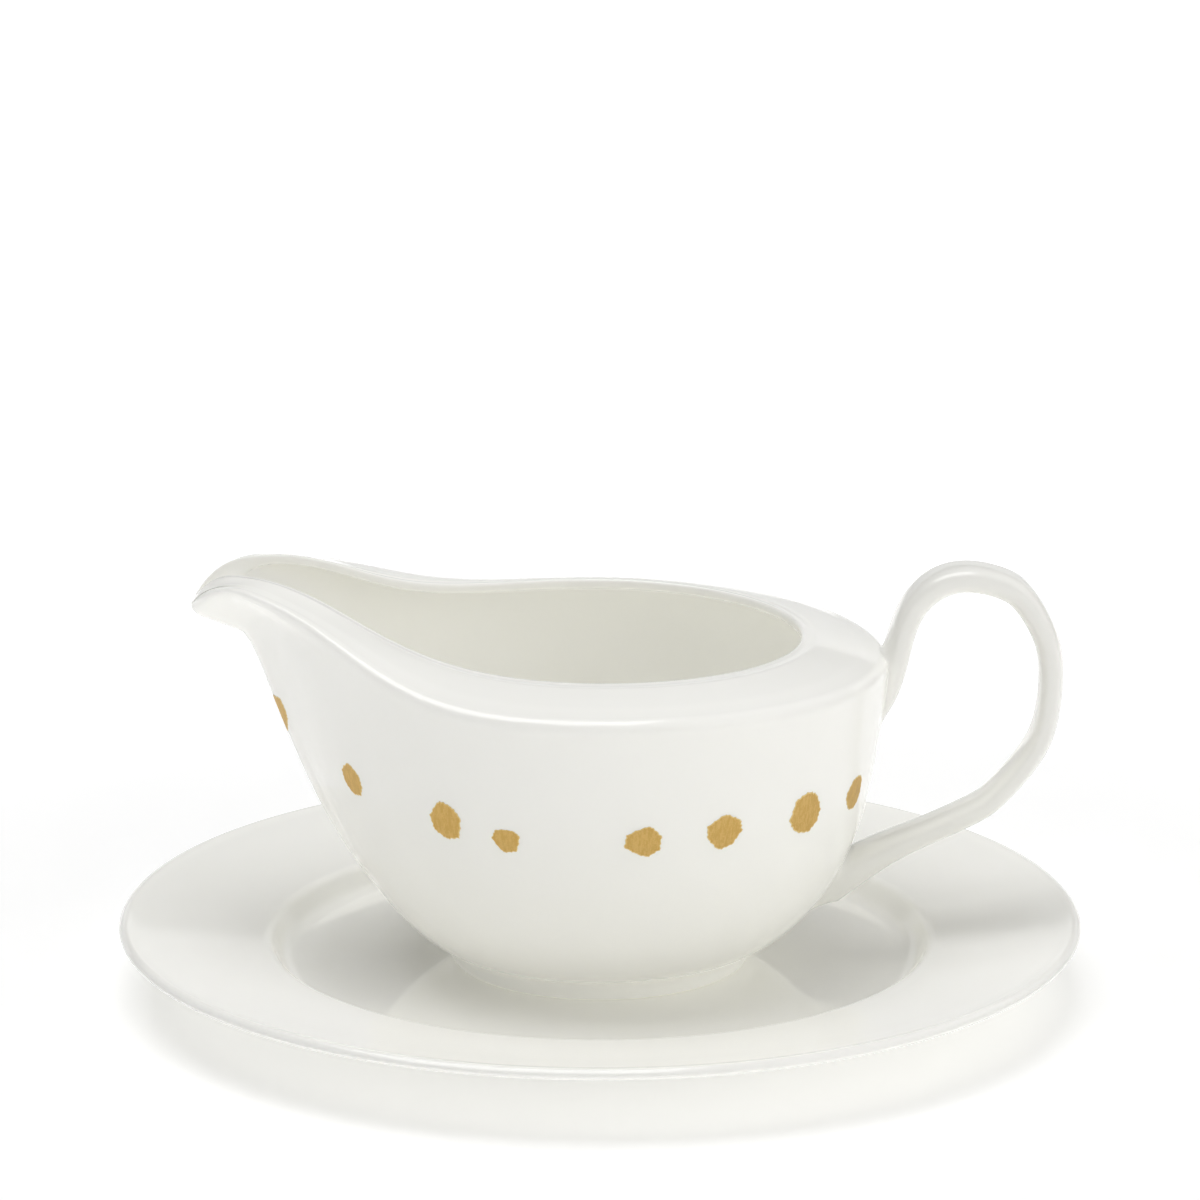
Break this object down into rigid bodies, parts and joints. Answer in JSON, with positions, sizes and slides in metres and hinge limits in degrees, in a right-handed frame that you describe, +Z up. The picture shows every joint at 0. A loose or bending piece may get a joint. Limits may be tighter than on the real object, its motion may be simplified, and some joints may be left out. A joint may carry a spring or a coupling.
{
  "type": "gravy boat",
  "caption": "Footed gravy boat with a drawn spout, inward-sloping shoulder and looped strap handle, standing loose in the well of a round saucer.",
  "frame": {"origin": "centre of the saucer's foot ring, on the table that it stands on", "axes": "+Z up, +X towards the handle, -X towards the spout"},
  "size_m": [0.22, 0.22, 0.0987],
  "materials": {
    "glazed_china": "glossy clear glaze over white bone china",
    "bare_china": "thinly glazed, polished foot",
    "gold": "burnished matt gold, brushed"
  },
  "bodies": {
    "root": {"saucer": "glazed_china"},
    "boat": {"boat_bowl": "glazed_china", "boat_foot_ring": "bare_china", "boat_handle": "glazed_china", "gold_spot_01": "gold", "gold_spot_02": "gold", "gold_spot_03": "gold", "gold_spot_04": "gold", "gold_spot_05": "gold", "gold_spot_06": "gold", "gold_spot_07": "gold", "gold_spot_08": "gold", "gold_spot_09": "gold", "gold_spot_10": "gold", "gold_spot_11": "gold", "gold_spot_12": "gold", "gold_spot_13": "gold", "gold_spot_14": "gold", "gold_spot_15": "gold"}
  },
  "joints": [
    {"name": "boat_lift", "type": "slide", "parent": "root", "child": "boat", "axis": [0, 0, 1], "range_m": [0, 0.12]}
  ]
}
